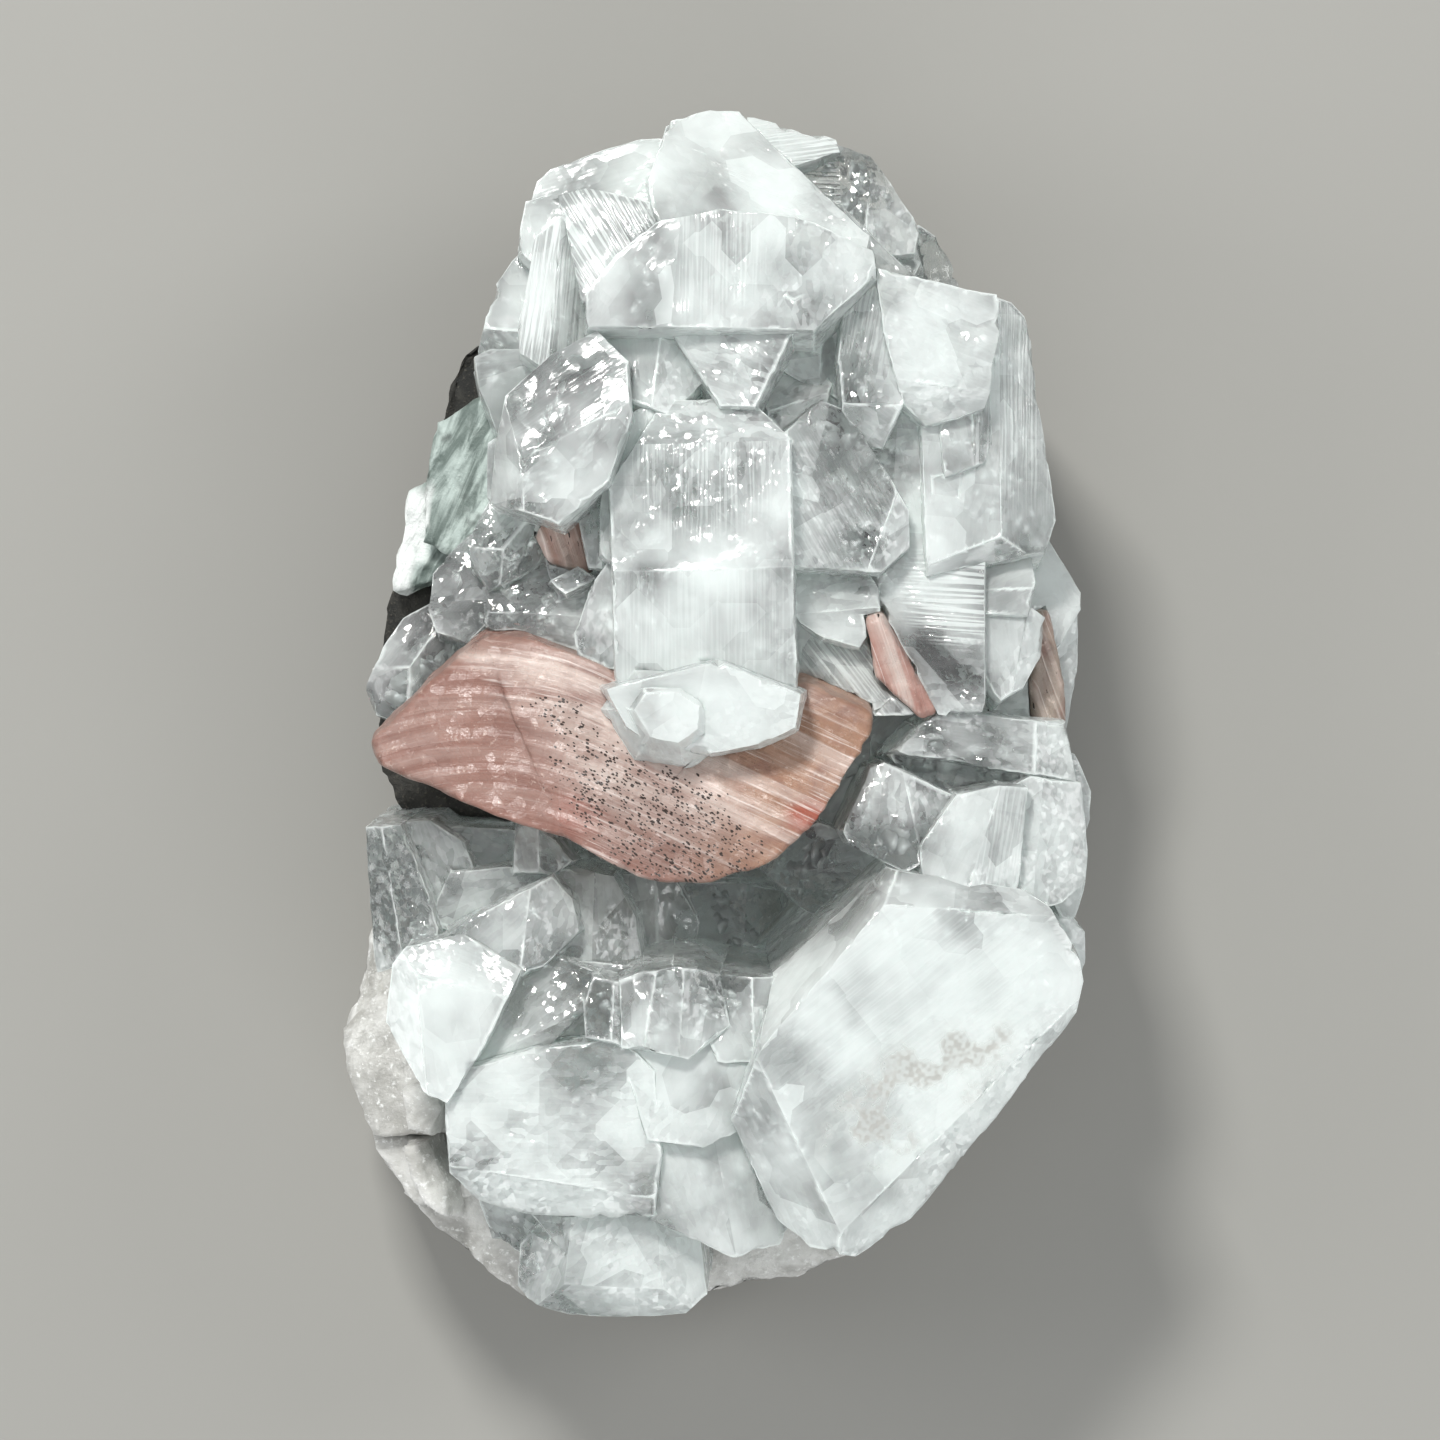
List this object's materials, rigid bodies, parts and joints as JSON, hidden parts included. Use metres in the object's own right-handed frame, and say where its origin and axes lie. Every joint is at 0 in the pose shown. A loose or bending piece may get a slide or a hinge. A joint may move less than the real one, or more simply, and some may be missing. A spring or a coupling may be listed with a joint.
{
  "type": "apophyllite cluster",
  "caption": "Palm-sized mineral specimen: pale, glassy apophyllite crystals grown over basalt and chalcedony, crossed by a salmon stilbite sheaf; rests on its broken back.",
  "frame": {"origin": "centre of the bounding box in X and Y, on the plane that the specimen rests on", "axes": "+Z out of the display side, +Y up the specimen as it is shown upright, +X to the viewer's right"},
  "size_m": [0.0492, 0.0793, 0.0334],
  "materials": {
    "apophyllite": "glassy to milky, striated faces",
    "stilbite": "pearly, finely striated stone",
    "basalt": "rough broken stone",
    "banded_crust": "waxy banded stone",
    "chalcedony": "dull, grainy stone"
  },
  "bodies": {
    "root": {"apophyllite_crystals": "apophyllite", "stilbite_sheaf": "stilbite", "stilbite_sliver": "stilbite", "stilbite_fan": "stilbite", "stilbite_patch": "stilbite", "basalt_matrix": "basalt", "banded_crust": "banded_crust", "chalcedony_crust": "chalcedony"}
  },
  "joints": []
}
